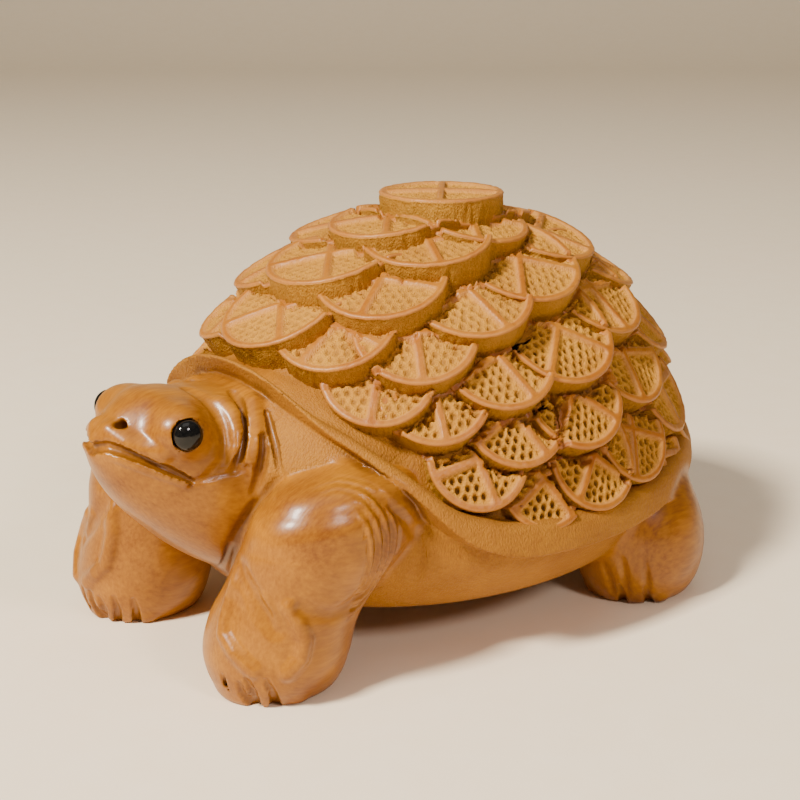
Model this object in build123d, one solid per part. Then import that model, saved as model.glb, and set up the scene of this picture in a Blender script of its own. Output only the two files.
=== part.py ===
from build123d import *
from math import asin, cos, degrees, radians, sin, sqrt
import os

os.makedirs("parts", exist_ok=True)

# A turtle carved from one block of boxwood, with two inlaid bead eyes.
# Sizes are in mm, heights are above the floor, the nose points towards -Y.
# It is laid out about the middle of the shell, and centred on its own length at the end.

# Shell: a half-ellipsoid dome that the scales stand on, carved in flat steps at these shares of its rise
shell_half_width = 33.2
shell_half_length = 44.2
shell_rise = 46.6
shell_level = 9.8
dome_step_shares = [0, 0.3, 0.52, 0.7, 0.84, 0.95]

# Scales: round plates laid like roof tiles, each rooted in the dome, which lies this far below their faces
scale_stand = 2.4
crown_radius = 8.9
crown_wall = 1.6
crown_setback = 1.9
scale_thickness = 6.0
scale_lift_angle = 14
top_row_lift_angle = 8
row_radii = [8.3, 8.1, 8.0, 7.5, 7.0, 6.4]

# Where the scales sit, row by row from the crown down: the turn from the nose in degrees,
# and the height above the dome's widest level as a share of its rise
row_1_shares = [(0, 0.976), (98, 0.970), (180, 0.976)]
row_2_shares = [(0, 0.889), (45, 0.938), (96, 0.861), (140, 0.906), (180, 0.880)]
row_3_shares = [(0, 0.762), (29, 0.845), (62, 0.807), (93, 0.676), (125, 0.745), (156, 0.800)]
row_4_shares = [(20.5, 0.734), (43, 0.712), (67, 0.639), (90, 0.506), (119, 0.562), (146, 0.635), (180, 0.715)]
row_5_shares = [(34.5, 0.612), (48, 0.564), (69, 0.485), (92, 0.320), (110, 0.348), (134, 0.415), (161, 0.520)]
row_6_shares = [(58, 0.378), (75, 0.292), (123, 0.225), (148, 0.300), (180, 0.365)]
scale_rows = [row_1_shares, row_2_shares, row_3_shares, row_4_shares, row_5_shares, row_6_shares]

# Rim: the smooth band below the scales. Its ridge line as shares of the shell's half length
# behind the shell's middle, and of the dome's rise above its widest level
rim_width = 4.4
rim_below_share = 0.2
rim_proud = 1.3
rim_flare = 1.1
rim_line_shares = [
    (-1.10, 0.68), (-0.83, 0.62), (-0.79, 0.53), (-0.71, 0.435), (-0.61, 0.325), (-0.50, 0.205),
    (-0.38, 0.143), (-0.17, 0.115), (0.05, 0.11), (0.25, 0.115), (0.45, 0.13), (0.72, 0.16), (1.10, 0.19),
]

# Body below the shell: ovals from the flat belly up into the shell, as shares of the shell's own oval
belly_clearance = 4.5
trunk_heights = [belly_clearance, 7.0, 11.5, 18.0, 25.0, 34.0]
trunk_width_shares = [0.587, 0.777, 0.898, 0.940, 0.873, 0.633]
trunk_length_shares = [0.566, 0.751, 0.869, 0.914, 0.864, 0.747]

# Head and neck: oval sections at these distances behind the tip of the snout. The last one is the root
# of the neck, inside the body, at this share of the shell's half length in front of its middle
snout_reach = 57.8
head_stations = [0.0, 0.9, 2.4, 4.6, 7.4, 10.6, 14.5, 19.5]
head_half_widths = [1.8, 3.2, 4.6, 6.0, 7.6, 9.0, 10.1, 11.3]
head_tops = [33.6, 34.9, 36.1, 37.7, 38.9, 38.6, 37.6, 37.0]
head_bottoms = [30.2, 28.4, 25.8, 23.0, 20.2, 17.2, 14.2, 11.4]
neck_root_share = 0.674
neck_root_half_width = 12.5
neck_root_top = 38.0
neck_root_bottom = 8.0

# Mouth: a groove round the muzzle; its line as distances behind the snout and heights
mouth_gap = 0.9
mouth_depth = 0.8
mouth_line = [(-1.2, 32.2), (0.4, 32.2), (2.8, 31.6), (6.2, 29.7), (9.6, 27.8)]

# Nostrils
nostril_radius = 0.75
nostril_depth = 3.0
nostril_setback = 3.2
nostril_height = 35.6
nostril_offset = 2.9

# Eyes: short beads glued into blind sockets in round eyelids
eyelid_radius = 3.7
eyelid_offset = 6.1
eye_setback = 9.3
eye_height = 33.9
eye_radius = 1.9
eye_length = 2.6
eye_rounding = 1.5
eye_seat_depth = 1.6
eye_glue_gap = 0.05
eye_turn = 78
eye_lift = 6

# Legs: ovals from the sole upwards, placed from the middle of the sole and running up into the body.
# The soles' places along the turtle are shares of the shell's half length from its middle
front_sole_offset = 13.7
front_sole_share = -0.903
front_leg_heights = [0.0, 1.6, 4.6, 9.0, 14.0, 20.0, 25.0, 28.4]
front_leg_half_widths = [6.6, 7.8, 9.2, 9.4, 9.0, 8.8, 7.8, 4.4]
front_leg_half_lengths = [8.0, 8.8, 9.8, 10.0, 10.8, 12.6, 11.2, 6.0]
front_leg_outward = [0.0, 0.0, 0.0, 0.4, 1.8, 3.8, 4.9, 5.2]
front_leg_back = [0.0, 0.0, 0.0, 0.8, 3.2, 6.2, 7.2, 7.6]

rear_sole_offset = 24.6
rear_sole_share = 0.441
rear_leg_heights = [0.0, 1.6, 4.6, 9.0, 14.0, 19.0]
rear_leg_half_widths = [6.4, 7.6, 9.0, 9.2, 8.0, 5.6]
rear_leg_half_lengths = [7.8, 8.8, 9.8, 9.8, 9.2, 8.0]
rear_leg_outward = [0.0, 0.0, 0.0, 0.0, -0.6, -2.2]
rear_leg_back = [0.0, -0.2, -0.4, -0.4, -0.6, -1.0]

# The right front foot stands wider and further back than the left one
right_stance_out = 5.4
right_stance_back = 1.6
right_stance_shares = [1.0, 1.0, 1.0, 0.8, 0.4, 0.1, 0.0, 0.0]

# Toes: notches cut into the front edge of each foot, the turn measured from the nose outwards
toe_notch_width = 1.5
toe_notch_depth = 2.6
toe_notch_height = 4.6
front_notch_turns = [1, 22, 43]
rear_notch_turns = [2, 26, 50]

# Tail: a short cone tucked under the rim behind, its ends as shares of the shell's half length
tail_root_radius = 4.2
tail_tip_radius = 1.2
tail_root_share = 0.774
tail_tip_share = 1.009
tail_root_height = 14.0
tail_tip_height = 7.6

cut_overrun = 20.0


def ellipsoid(half_width, half_length, half_height):
    return scale(Sphere(1), by=(half_width, half_length, half_height))


def behind_snout(distance):
    """Y of a point this far behind the tip of the snout."""
    return distance - snout_reach


def oval_stack(ovals):
    """A solid with straight sides from each oval to the next."""
    return loft(ovals, ruled=True)


def dome():
    """The stepped ellipsoid below the scales."""
    ovals = []
    for share in dome_step_shares:
        ring = sqrt(1 - share**2)
        oval = Ellipse((shell_half_width - scale_stand) * ring, (shell_half_length - scale_stand) * ring)
        ovals.append(Pos(0, 0, shell_level + share * (shell_rise - scale_stand)) * oval)
    return oval_stack(ovals)


def rim_form():
    """The ellipsoid that the rim's face lies on, standing proud of the dome and most in front."""
    half_length = shell_half_length + rim_proud + rim_flare
    form = ellipsoid(shell_half_width + rim_proud, half_length, shell_rise + rim_proud)
    return Pos(0, -rim_flare, shell_level) * form


def above_rim(rise):
    """Everything over the rim's ridge line moved up by rise, as an extrusion across the turtle."""
    points = [
        (back * shell_half_length, shell_level + up * shell_rise + rise)
        for back, up in rim_line_shares
    ]
    line = Spline(*points)
    top = shell_level + shell_rise + cut_overrun
    rear_corner = ((line @ 1).X, top)
    front_corner = ((line @ 0).X, top)
    outline = line + Polyline((line @ 1), rear_corner, front_corner, (line @ 0))
    return extrude(Plane.YZ * make_face(outline), amount=shell_half_width + cut_overrun, both=True)


def scale_plane(turn, rise_share, lift_angle):
    """The plane of a scale's face: it stands on the dome, less steep than the dome by the lift angle."""
    heading = Vector(sin(radians(turn)), -cos(radians(turn)), 0)
    stretch = sqrt((heading.X / shell_half_width) ** 2 + (heading.Y / shell_half_length) ** 2)
    centre = heading * (sqrt(1 - rise_share**2) / stretch)
    slope = Vector(centre.X / shell_half_width**2, centre.Y / shell_half_length**2, rise_share / shell_rise)
    outward = Vector(slope.X, slope.Y, 0).normalized()
    lean = degrees(asin(slope.normalized().dot(outward))) - lift_angle
    normal = outward * sin(radians(lean)) + Vector(0, 0, 1) * cos(radians(lean))
    across = Vector(-outward.Y, outward.X, 0)
    raised = centre + Vector(0, 0, shell_level + rise_share * shell_rise)
    return Plane(origin=raised, x_dir=across, z_dir=normal)


def scale_plate(plane, radius):
    """One scale: a round plate under its face, long enough to root in the dome."""
    return plane * Cylinder(radius, scale_thickness, align=(Align.CENTER, Align.CENTER, Align.MAX))


def scale_row(row):
    """The plates of one row on both sides, those on the middle line once."""
    lift_angle = top_row_lift_angle if row == 0 else scale_lift_angle
    plates = []
    for turn, rise_share in scale_rows[row]:
        for side_turn in [turn] if turn in (0, 180) else [turn, -turn]:
            plates.append(scale_plate(scale_plane(side_turn, rise_share, lift_angle), row_radii[row]))
    return plates


def shell():
    """Dome, rim and scales. The scales join row by row from the lowest, as they overlap."""
    band_strip = above_rim(-rim_width * rim_below_share) - above_rim(rim_width * (1 - rim_below_share))
    body = (dome() & above_rim(0)) + (rim_form() & band_strip)
    for row in reversed(range(len(scale_rows))):
        for plate in scale_row(row):
            body += plate
    crown = Plane(origin=(0, crown_setback, shell_level + shell_rise + crown_wall))
    return body + scale_plate(crown, crown_radius)


def trunk():
    ovals = []
    for height, across, along in zip(trunk_heights, trunk_width_shares, trunk_length_shares):
        ovals.append(Pos(0, 0, height) * Ellipse(across * shell_half_width, along * shell_half_length))
    return oval_stack(ovals)


def head_form(inset):
    """Head and neck as a loft, smaller by inset all round."""
    places = [behind_snout(station + inset) for station in head_stations] + [-neck_root_share * shell_half_length]
    half_widths = head_half_widths + [neck_root_half_width]
    tops = head_tops + [neck_root_top]
    bottoms = head_bottoms + [neck_root_bottom]
    ovals = []
    for place, half_width, top, bottom in zip(places, half_widths, tops, bottoms):
        plane = Plane(origin=(0, place, (top + bottom) / 2), x_dir=(1, 0, 0), z_dir=(0, 1, 0))
        ovals.append(plane * Ellipse(half_width - inset, (top - bottom) / 2 - inset))
    return oval_stack(ovals)


def mouth_groove():
    upper = [(behind_snout(back), height + mouth_gap / 2) for back, height in mouth_line]
    lower = [(behind_snout(back), height - mouth_gap / 2) for back, height in mouth_line]
    outline = Spline(*upper) + Spline(*lower) + Line(upper[0], lower[0]) + Line(upper[-1], lower[-1])
    band = extrude(Plane.YZ * make_face(outline), amount=max(head_half_widths), both=True)
    return band - head_form(mouth_depth)


def nostril(side):
    """A blind hole, square to the rounded front of the snout."""
    direction = Vector(side * nostril_offset, -nostril_setback, nostril_offset)
    place = (side * nostril_offset, behind_snout(nostril_setback), nostril_height)
    return Plane(origin=place, z_dir=direction) * Cylinder(nostril_radius, nostril_depth)


def eye_plane(side, out):
    """The plane square to an eye's axis, this far out from the middle of its eyelid."""
    level = cos(radians(eye_lift))
    axis = Vector(side * sin(radians(eye_turn)) * level, -cos(radians(eye_turn)) * level, sin(radians(eye_lift)))
    middle = Vector(side * eyelid_offset, behind_snout(eye_setback), eye_height)
    return Plane(origin=middle + axis * out, z_dir=axis)


def eyelid(side):
    return eye_plane(side, 0) * Sphere(eyelid_radius)


def eye_socket(side):
    seat = eye_plane(side, eyelid_radius - eye_seat_depth)
    return seat * Cylinder(
        eye_radius + eye_glue_gap, eye_seat_depth * 2, align=(Align.CENTER, Align.CENTER, Align.MIN)
    )


def eye(side):
    """A glass bead: a short round bar with its outer edge rounded over."""
    bar = Cylinder(eye_radius, eye_length, align=(Align.CENTER, Align.CENTER, Align.MIN))
    outer_edge = bar.edges().filter_by(GeomType.CIRCLE).sort_by(Axis.Z)[-1]
    return eye_plane(side, eyelid_radius - eye_seat_depth) * fillet(outer_edge, eye_rounding)


def leg(side, sole, heights, half_widths, half_lengths, outward, back, stance_shares):
    """A leg as a stack of ovals. The stance shares move a section to the wider stance."""
    ovals = []
    for height, a, b, out, rear, stance in zip(heights, half_widths, half_lengths, outward, back, stance_shares):
        x = sole[0] + out + stance * right_stance_out
        y = sole[1] + rear + stance * right_stance_back
        ovals.append(Pos(side * x, y, height) * Ellipse(a, b))
    return oval_stack(ovals)


def toe_notches(side, sole, half_width, half_length, turns, stance):
    """Wedges that part the toes along the front edge of a sole, leaning back as they rise."""
    wedge_profile = Polygon(
        (0, toe_notch_width / 2), (0, -toe_notch_width / 2), (toe_notch_depth, 0),
        align=None,
    )
    wedges = []
    for turn in turns:
        x = sole[0] + stance * right_stance_out + half_width * sin(radians(turn))
        y = sole[1] + stance * right_stance_back - half_length * cos(radians(turn))
        wedge = extrude(wedge_profile, amount=toe_notch_height, taper=8)
        wedges.append(Pos(side * x, y, 0) * Rot(0, 0, 90 + side * turn) * wedge)
    return wedges


def front_limb(side, stance):
    sole = (front_sole_offset, front_sole_share * shell_half_length)
    limb = leg(
        side, sole, front_leg_heights, front_leg_half_widths, front_leg_half_lengths,
        front_leg_outward, front_leg_back, [stance * share for share in right_stance_shares],
    )
    sole_edge = (front_leg_half_widths[1], front_leg_half_lengths[1])
    return limb - toe_notches(side, sole, *sole_edge, front_notch_turns, stance)


def rear_limb(side):
    sole = (rear_sole_offset, rear_sole_share * shell_half_length)
    limb = leg(
        side, sole, rear_leg_heights, rear_leg_half_widths, rear_leg_half_lengths,
        rear_leg_outward, rear_leg_back, [0 for height in rear_leg_heights],
    )
    sole_edge = (rear_leg_half_widths[1], rear_leg_half_lengths[1])
    return limb - toe_notches(side, sole, *sole_edge, rear_notch_turns, 0)


def tail():
    root = Vector(0, tail_root_share * shell_half_length, tail_root_height)
    tip = Vector(0, tail_tip_share * shell_half_length, tail_tip_height)
    along = tip - root
    cone = Plane(origin=root, z_dir=along) * Cone(
        tail_root_radius, tail_tip_radius, along.length, align=(Align.CENTER, Align.CENTER, Align.MIN)
    )
    return cone


def carved_turtle():
    body = shell() + trunk() + head_form(0)
    for side in (-1, 1):
        stance = 1 if side < 0 else 0
        body += [front_limb(side, stance), rear_limb(side), eyelid(side)]
    body += tail()
    body -= [mouth_groove()]
    for side in (-1, 1):
        body -= [nostril(side), eye_socket(side)]
    return body


built = {"carved_turtle": carved_turtle(), "left_eye": eye(1), "right_eye": eye(-1)}
extent = built["carved_turtle"].bounding_box()
centred = Pos(-(extent.min.X + extent.max.X) / 2, -(extent.min.Y + extent.max.Y) / 2, 0)
for name, solid in built.items():
    export_step(centred * solid, f"parts/{name}.step")
    print(name, len(solid.solids()), round(solid.volume, 1))
print("size", extent.size, "centre", extent.center())
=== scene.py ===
from math import cos, pi, radians, sin, sqrt

import bpy
import numpy as np
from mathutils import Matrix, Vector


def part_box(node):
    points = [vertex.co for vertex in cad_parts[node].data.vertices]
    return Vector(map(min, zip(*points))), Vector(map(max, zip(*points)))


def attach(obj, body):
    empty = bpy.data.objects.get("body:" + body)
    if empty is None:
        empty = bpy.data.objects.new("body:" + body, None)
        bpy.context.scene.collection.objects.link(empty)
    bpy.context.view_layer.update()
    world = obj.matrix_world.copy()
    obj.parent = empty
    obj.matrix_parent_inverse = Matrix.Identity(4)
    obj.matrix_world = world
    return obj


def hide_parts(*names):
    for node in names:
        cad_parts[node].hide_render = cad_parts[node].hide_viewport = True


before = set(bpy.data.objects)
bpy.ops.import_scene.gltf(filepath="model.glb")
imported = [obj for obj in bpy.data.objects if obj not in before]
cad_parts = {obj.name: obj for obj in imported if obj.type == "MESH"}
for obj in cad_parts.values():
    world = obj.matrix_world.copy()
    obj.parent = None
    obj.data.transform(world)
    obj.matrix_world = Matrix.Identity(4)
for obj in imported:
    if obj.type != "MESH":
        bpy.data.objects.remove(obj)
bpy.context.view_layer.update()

# Where the photograph was taken from: the turtle's left front, a little above it, with a 72 mm lens.
# Carved lines are laid on the wood along the same lines of sight, so sizes here are in mm about the
# middle of the shell, with the nose towards -Y.
mm = 0.001
snout_reach = 57.8
shell_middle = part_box("carved_turtle")[0].y / mm + snout_reach
picture_side = 800
lens = 72.0
film = 36.0
camera_azimuth = 47.7
camera_pitch = 16.4
camera_spot = np.array([163.6, -154.9, 93.3])


def in_frame(points):
    """Points in mm about the middle of the shell, moved to the frame's metres."""
    return (np.asarray(points, float) + [0, shell_middle, 0]) * mm


def lines_of_sight(pixels):
    """Unit directions from the camera through pixels of the photograph."""
    turn, down = radians(camera_azimuth), radians(camera_pitch)
    ahead = np.array([-sin(turn) * cos(down), cos(turn) * cos(down), -sin(down)])
    right = np.array([cos(turn), sin(turn), 0])
    up = np.cross(right, ahead)
    shift = (np.asarray(pixels, float) - picture_side / 2) * film / (lens * picture_side)
    rays = ahead + shift[:, :1] * right - shift[:, 1:] * up
    return rays / np.linalg.norm(rays, axis=1, keepdims=True)


camera_data = bpy.data.cameras.new("camera")
camera_data.lens = lens
camera_data.sensor_width = film
camera_data.clip_start = 0.01
camera = bpy.data.objects.new("camera", camera_data)
camera.location = in_frame(camera_spot)
camera.rotation_euler = (radians(90 - camera_pitch), 0, radians(camera_azimuth))
bpy.context.scene.collection.objects.link(camera)
bpy.context.scene.camera = camera


# Shell, below the scales: a dome of solid boxwood that ends in a crisp ridge all round.
# A smooth band runs above the ridge, and the wood is undercut below it.
shell_half_width = 33.2
shell_half_length = 44.2
shell_rise = 46.6
shell_level = 9.8
under_scales = 2.4
rim_proud = 1.3
rim_flare = 1.1
rim_width = 4.4
front_rim_narrowing = 2.4
narrowing_start = -18
narrowing_length = 16
band_fade = 1.6
band_hollow = 0.8
ridge_edge = 0.25
rim_line_shares = [
    (-1.10, 0.68), (-0.83, 0.62), (-0.79, 0.53), (-0.71, 0.435), (-0.61, 0.325), (-0.50, 0.205),
    (-0.38, 0.143), (-0.17, 0.115), (0.05, 0.11), (0.25, 0.115), (0.45, 0.13), (0.72, 0.16), (1.10, 0.19),
]


def soft_min(a, b, softness):
    """Two forms grown together, with a hollow of this softness where they meet."""
    mix = np.clip(0.5 + 0.5 * (b - a) / softness, 0, 1)
    return b + (a - b) * mix - softness * mix * (1 - mix)


def soft_max(a, b, softness):
    return -soft_min(-a, -b, softness)


def egg(points, middle, radii):
    """Distance to an ellipsoid, nearly true close to its surface."""
    local = (points - np.array(middle)) / np.array(radii)
    size = np.sqrt((local**2).sum(1))
    slope = np.sqrt(((local / np.array(radii)) ** 2).sum(1))
    return size * (size - 1) / np.maximum(slope, 1e-6)


def through(x, places, values):
    """A smooth curve through values given at these places."""
    places, values = np.array(places, float), np.array(values, float)
    slopes = np.gradient(values, places)
    i = np.clip(np.searchsorted(places, x) - 1, 0, len(places) - 2)
    run = places[i + 1] - places[i]
    t = np.clip((x - places[i]) / run, 0, 1)
    start = (2 * t**3 - 3 * t**2 + 1) * values[i] + (t**3 - 2 * t**2 + t) * run * slopes[i]
    return start + (3 * t**2 - 2 * t**3) * values[i + 1] + (t**3 - t**2) * run * slopes[i + 1]


def ridge_height(back):
    backs, rises = np.array(rim_line_shares).T
    return shell_level + shell_rise * through(back / shell_half_length, backs, rises)


def dome_form(points):
    """The dome that the scales stand on, and the proud band above the ridge."""
    over_ridge = points[:, 2] - ridge_height(points[:, 1])
    core = egg(
        points, (0, 0, shell_level),
        (shell_half_width - under_scales, shell_half_length - under_scales, shell_rise - under_scales),
    )
    band = egg(
        points, (0, -rim_flare, shell_level),
        (shell_half_width + rim_proud, shell_half_length + rim_proud + rim_flare, shell_rise + rim_proud),
    )
    narrowing = front_rim_narrowing * np.clip((narrowing_start - points[:, 1]) / narrowing_length, 0, 1)
    band = soft_max(band, (over_ridge - rim_width + narrowing) * 0.5, band_fade)
    return soft_max(soft_min(core, band, band_hollow), -0.85 * over_ridge, ridge_edge)


# Belly and the skin under the shell: cut back from the ridge, flat underneath,
# and swept forward into the neck and the shoulders.
belly_clearance = 4.5
trunk_heights = [2.0, 4.5, 7.0, 11.5, 18.0, 24.0, 34.0]
trunk_half_widths = [14.0, 19.5, 25.8, 29.8, 31.2, 29.5, 22.0]
trunk_half_lengths = [18.0, 25.0, 33.2, 38.4, 40.4, 38.0, 30.0]
collar_spot = (0, -26, 25.6)
collar_radii = (21.6, 16.4, 13.4)
collar_hollow = 3.0
belly_edge = 1.5


def stacked(points, heights, half_widths, half_lengths, out=None, back=None):
    """Ovals stacked up through the given heights."""
    x, y, z = points.T
    half_width = through(z, heights, half_widths)
    half_length = through(z, heights, half_lengths)
    if out is not None:
        x = x - through(z, heights, out)
        y = y - through(z, heights, back)
    size = np.sqrt((x / half_width) ** 2 + (y / half_length) ** 2)
    slope = np.sqrt((x / half_width**2) ** 2 + (y / half_length**2) ** 2)
    side = size * (size - 1) / np.maximum(slope, 1e-6)
    side = np.where(size < 0.3, -0.7 * np.minimum(half_width, half_length), side)
    return soft_max(0.9 * side, np.maximum(z - heights[-1], heights[0] - z), 0.8)


def trunk_form(points):
    trunk = stacked(points, trunk_heights, trunk_half_widths, trunk_half_lengths)
    trunk = soft_max(trunk, belly_clearance - points[:, 2], belly_edge)
    return soft_min(trunk, egg(points, collar_spot, collar_radii), collar_hollow)


# Head and neck: a blunt wedge with a flat crown, heavy lids over the eyes,
# and a jaw that runs down in one sweep into the throat.
head_stations = [0.3, 0.9, 1.7, 3.0, 4.9, 7.6, 10.7, 14.5, 19.5, 28.0]
head_half_widths = [0.8, 2.3, 3.5, 4.7, 6.0, 7.5, 8.9, 10.1, 11.3, 12.5]
head_tops = [33.4, 34.2, 34.9, 35.8, 37.1, 38.3, 38.2, 37.5, 36.9, 38.0]
head_bottoms = [30.8, 29.6, 27.8, 25.5, 23.0, 20.2, 17.2, 14.2, 11.4, 8.0]
eye_spot = np.array([6.1, 9.3 - snout_reach, 33.9])
eyelid_radii = (3.55, 3.7, 3.4)
head_squareness = 2.3
nose_taper = 0.55
nose_reach = 9
chin_taper = 0.16
chin_reach = 14
eyelid_hollow = 1.8


def mirrored(point):
    return np.array(point) * [-1, 1, 1]


def head_form(points):
    x, y, z = points.T
    station = y + snout_reach
    half_width = through(station, head_stations, head_half_widths)
    top = through(station, head_stations, head_tops)
    bottom = through(station, head_stations, head_bottoms)
    rise = z - (top + bottom) / 2
    half_height = (top - bottom) / 2
    tuck = 1 - chin_taper * np.clip(-rise / half_height, 0, 1) * np.clip(1 - station / chin_reach, 0, 1)
    tuck -= nose_taper * np.clip(rise / half_height, 0, 1) ** 2 * np.clip(1 - station / nose_reach, 0, 1)
    wide, high = np.abs(x) / (half_width * tuck), np.abs(rise) / half_height
    size = (wide**head_squareness + high**head_squareness) ** (1 / head_squareness)
    across = (size - 1) * np.minimum(half_width, half_height) * 0.9
    form = soft_max(across, head_stations[0] - station, 0.6)
    form = soft_max(form, station - head_stations[-1], 1.0)
    for spot in (eye_spot, mirrored(eye_spot)):
        form = soft_min(form, egg(points, spot, eyelid_radii), eyelid_hollow)
    return form


# Legs: each swells from a broad foot into the shoulder or thigh. The right front foot is set
# wider and further back than the left one, as if the turtle were walking.
front_heights = [-1.0, 0.0, 1.6, 4.6, 9.0, 14.0, 20.0, 25.0, 28.0, 29.4]
front_half_widths = [5.4, 6.6, 7.8, 9.1, 9.3, 8.9, 8.8, 7.6, 4.8, 1.0]
front_half_lengths = [6.8, 8.0, 8.8, 9.6, 9.8, 10.6, 12.4, 11.0, 7.0, 1.6]
front_out = [13.7, 13.7, 13.7, 13.7, 14.1, 15.5, 17.5, 18.4, 18.8, 18.9]
front_back = [-39.9, -39.9, -39.9, -39.9, -39.1, -36.7, -33.7, -32.7, -32.3, -32.3]
right_stance_out = 5.4
right_stance_back = 1.6
right_stance_shares = [1.0, 1.0, 1.0, 1.0, 0.8, 0.4, 0.1, 0.0, 0.0, 0.0]
rear_heights = [-1.0, 0.0, 1.6, 4.6, 9.0, 14.0, 19.0, 22.0]
rear_half_widths = [5.2, 6.4, 7.6, 8.8, 9.0, 8.0, 5.8, 2.0]
rear_half_lengths = [6.6, 7.8, 8.8, 9.6, 9.8, 9.2, 8.0, 4.0]
rear_out = [24.6, 24.6, 24.6, 24.6, 24.6, 24.0, 22.4, 21.6]
rear_back = [19.5, 19.5, 19.3, 19.1, 19.1, 18.9, 18.5, 18.3]
left_front_toes = [(12.0, -45.9), (14.9, -45.6), (17.5, -44.1), (19.3, -41.5)]
right_front_toes = [(13.8, -41.6), (16.6, -43.2), (19.4, -44.0), (22.4, -43.2)]
rear_toes = [(22.0, 13.2), (25.2, 13.3), (28.0, 14.5), (30.0, 17.0)]
toe_radius = 1.75
toe_length = 5.5
toe_rise = 3.4
toe_hollow = 0.7


def bar(points, start, end, start_radius, end_radius):
    """Distance to a straight bar whose radius changes from end to end."""
    start, end = np.array(start, float), np.array(end, float)
    along = end - start
    share = np.clip((points - start) @ along / (along @ along), 0, 1)
    return np.linalg.norm(points - start - share[:, None] * along, axis=1) - (
        start_radius + (end_radius - start_radius) * share
    )


def foot_toes(points, side, toes, heel):
    """Knuckled toes that reach from the foot to the floor."""
    form = None
    for toe in toes:
        tip = np.array([side * toe[0], toe[1], toe_radius * 0.75])
        inward = np.array([side * heel[0], heel[1], 0]) - tip * [1, 1, 0]
        root = tip + inward / np.linalg.norm(inward) * toe_length + [0, 0, toe_rise]
        one = bar(points, tip, root, toe_radius, toe_radius * 1.15)
        form = one if form is None else np.minimum(form, one)
    return form


def limb(points, side, heights, half_widths, half_lengths, out, back, toes):
    mirror = points * [side, 1, 1]
    form = stacked(mirror, heights, half_widths, half_lengths, out, back)
    return soft_min(form, foot_toes(points, side, toes, (out[1], back[1])), toe_hollow)


def legs_form(points):
    right_out = np.array(front_out) + right_stance_out * np.array(right_stance_shares)
    right_back = np.array(front_back) + right_stance_back * np.array(right_stance_shares)
    forms = [
        limb(points, 1, front_heights, front_half_widths, front_half_lengths,
             front_out, front_back, left_front_toes),
        limb(points, -1, front_heights, front_half_widths, front_half_lengths,
             right_out, right_back, right_front_toes),
    ]
    for side in (1, -1):
        forms.append(
            limb(points, side, rear_heights, rear_half_widths, rear_half_lengths,
                 rear_out, rear_back, rear_toes)
        )
    return np.minimum.reduce(forms)


# Tail: a short cone tucked under the rim behind.
tail_root = (0, 34.2, 14.0)
tail_tip = (0, 44.0, 8.2)
tail_root_radius = 4.2
tail_tip_radius = 1.3


def tail_form(points):
    return bar(points, tail_root, tail_tip, tail_root_radius, tail_tip_radius)


# Roughing out: all the forms above grown into one, and cut off flat at the floor.
neck_hollow = 2.2
leg_hollow = 1.3
tail_hollow = 1.5
under_ridge_hollow = 0.5
sole_edge = 0.3


def rough_form(points):
    skin = soft_min(trunk_form(points), head_form(points), neck_hollow)
    skin = soft_min(skin, legs_form(points), leg_hollow)
    skin = soft_min(skin, tail_form(points), tail_hollow)
    form = soft_min(dome_form(points), skin, under_ridge_hollow)
    return soft_max(form, -points[:, 2], sole_edge)


def steepest(form, points, step=0.05):
    """The direction in which the distance grows, at each point."""
    slopes = []
    for axis in np.eye(3):
        slopes.append((form(points + axis * step) - form(points - axis * step)) / (2 * step))
    slopes = np.stack(slopes, 1)
    return slopes / np.maximum(np.linalg.norm(slopes, axis=1, keepdims=True), 1e-6)


nearest_wood = 150.0
far_away = 1e3
sight_steps = 90


def on_wood(pixels):
    """Points of the rough surface under pixels of the photograph, or nearest to their lines of sight."""
    rays = lines_of_sight(pixels)
    reach = np.full(len(rays), nearest_wood)
    best = reach.copy()
    nearest = np.full(len(rays), far_away)
    for _ in range(sight_steps):
        gap = rough_form(camera_spot + rays * reach[:, None])
        closer = gap < nearest
        best[closer] = reach[closer]
        nearest[closer] = gap[closer]
        reach += np.clip(gap, -1.0, 12.0) * 0.8
    return settled(camera_spot + rays * best[:, None])


def settled(points):
    """Points moved along the slope of the rough form until they lie on its surface."""
    for _ in range(6):
        points = points - steepest(rough_form, points) * rough_form(points)[:, None]
    return points


# Knife work: the mouth, the folds of the neck and shoulders, the creases and ridges of the legs.
# Each line follows the photograph on the turtle's left, and is repeated on its right.
# Each has its line, its half widths, how deep it is cut or how proud it stands, and its softness.
mouth_line = [(101, 446), (110, 447), (122, 451), (145, 459.5), (168, 470), (183, 477), (192.5, 482)]
mouth_widths = [0.6, 0.6, 0.58, 0.52, 0.45, 0.35, 0.2]
lower_lip_line = [(106, 456), (120, 459), (143, 468), (168, 477), (186, 483)]
cheek_line = [(188, 389), (203, 398), (215, 411), (223, 427), (226, 444), (223, 462), (211, 475)]
neck_line = [(233, 392), (240, 406), (243.5, 422), (243.5, 440), (240, 456), (235, 470)]
collar_line = [(267, 412), (271, 428), (275.5, 447), (279.5, 469)]
head_cuts = [
    (mouth_line, mouth_widths, 0.55, 0.3),
    (cheek_line, 0.5, 0.22, 1.0),
    (neck_line, 0.35, [0.1, 0.4, 0.45, 0.45, 0.35, 0.1], 0.7),
    ([(264, 438), (264, 452), (261, 470), (255, 492)], 0.35, [0.1, 0.4, 0.35, 0.1], 0.7),
    (collar_line, [0.2, 0.38, 0.38, 0.2], [0.2, 0.8, 0.8, 0.2], 0.35),
    ([(195, 482), (210, 477), (228, 473), (246, 468)], 0.3, [0.1, 0.2, 0.2, 0.05], 0.6),
]
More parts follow.
